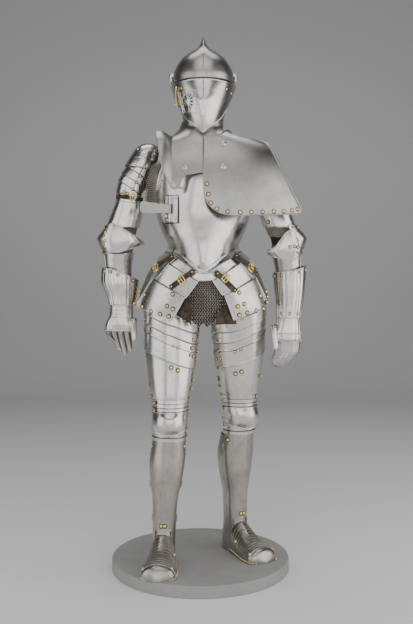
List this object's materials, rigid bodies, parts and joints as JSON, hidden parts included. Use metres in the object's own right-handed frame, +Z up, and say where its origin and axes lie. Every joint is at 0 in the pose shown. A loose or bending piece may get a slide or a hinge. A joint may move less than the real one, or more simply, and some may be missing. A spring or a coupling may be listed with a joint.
{
  "type": "suit of plate armour for jousting on a round display plinth",
  "caption": "Hollow suit of plate armour standing on a round plinth: closed helmet, shoulder targe, lance rest, tassets, leg harness, gauntlets and mail.",
  "frame": {"origin": "centre of the plinth's underside", "axes": "+Z up, -Y is the suit's front, -X is the wearer's right side"},
  "size_m": [0.7317, 0.606, 1.829],
  "materials": {
    "bright_steel": "polished, with fine wear marks",
    "satin_steel": "satin, lightly worn and pitted",
    "dark_steel": "darker aged steel with brownish streaks",
    "mail": "dark riveted mail",
    "leather": "worn brown strap leather",
    "gilt": "worn gilt brass",
    "plinth_paint": "plain matt grey paint"
  },
  "bodies": {
    "suit": {"helmet_skull": "satin_steel", "helmet_bevor": "satin_steel", "neck_plate": "satin_steel", "breastplate": "bright_steel", "backplate": "bright_steel", "chest_plate_right": "satin_steel", "targe_left": "satin_steel", "lance_rest_plate": "bright_steel", "fauld": "bright_steel", "tasset_right_upper": "bright_steel", "tasset_right_middle": "bright_steel", "tasset_right_lower": "bright_steel", "tasset_left_upper": "bright_steel", "tasset_left_middle": "bright_steel", "tasset_left_lower": "bright_steel", "tasset_right_side": "dark_steel", "tasset_left_side": "dark_steel", "culet": "dark_steel", "strap_right_centre": "leather", "strap_left_centre": "leather", "mail_skirt": "mail", "right_thigh_top": "bright_steel", "right_thigh_upper": "bright_steel", "right_thigh_main": "bright_steel", "right_knee": "bright_steel", "right_greave_front": "dark_steel", "right_greave_back": "dark_steel", "right_sabaton": "dark_steel", "right_toe_cap": "bright_steel", "left_thigh_top": "bright_steel", "left_thigh_upper": "bright_steel", "left_thigh_main": "bright_steel", "left_knee": "bright_steel", "left_greave_front": "dark_steel", "left_greave_back": "dark_steel", "left_sabaton": "dark_steel", "left_toe_cap": "bright_steel", "right_mail_sleeve": "mail", "right_spaudler": "satin_steel", "right_shoulder_lames": "satin_steel", "right_upper_cannon": "bright_steel", "right_couter": "bright_steel", "right_lower_cannon": "bright_steel", "right_cuff": "satin_steel", "right_hand_lames": "satin_steel", "right_fingers": "satin_steel", "left_mail_sleeve": "mail", "left_spaudler": "satin_steel", "left_shoulder_lames": "satin_steel", "left_upper_cannon": "bright_steel", "left_couter": "bright_steel", "left_lower_cannon": "bright_steel", "left_cuff": "bright_steel", "left_hand_plate": "satin_steel", "left_mitten": "satin_steel", "plinth": "plinth_paint"},
    "visor": {"visor": "bright_steel"},
    "breath_door": {"breath_door": "bright_steel"},
    "lance_rest": {"lance_rest_arm": "bright_steel"}
  },
  "joints": [
    {"name": "visor_lift", "type": "hinge", "parent": "suit", "child": "visor", "pos_m": [0.01, 0.02, 1.692], "axis": [-1, 0, 0], "range_deg": [0, 60]},
    {"name": "door_swing", "type": "hinge", "parent": "visor", "child": "breath_door", "pos_m": [-0.05685, -0.09013, 1.54661], "axis": [0.2421, -0.1286, -0.9617], "range_deg": [0, 110]},
    {"name": "rest_swing", "type": "hinge", "parent": "suit", "child": "lance_rest", "pos_m": [-0.10285, -0.1166, 1.18356], "axis": [0.0199, 0.0552, 0.9983], "range_deg": [0, 70]}
  ]
}
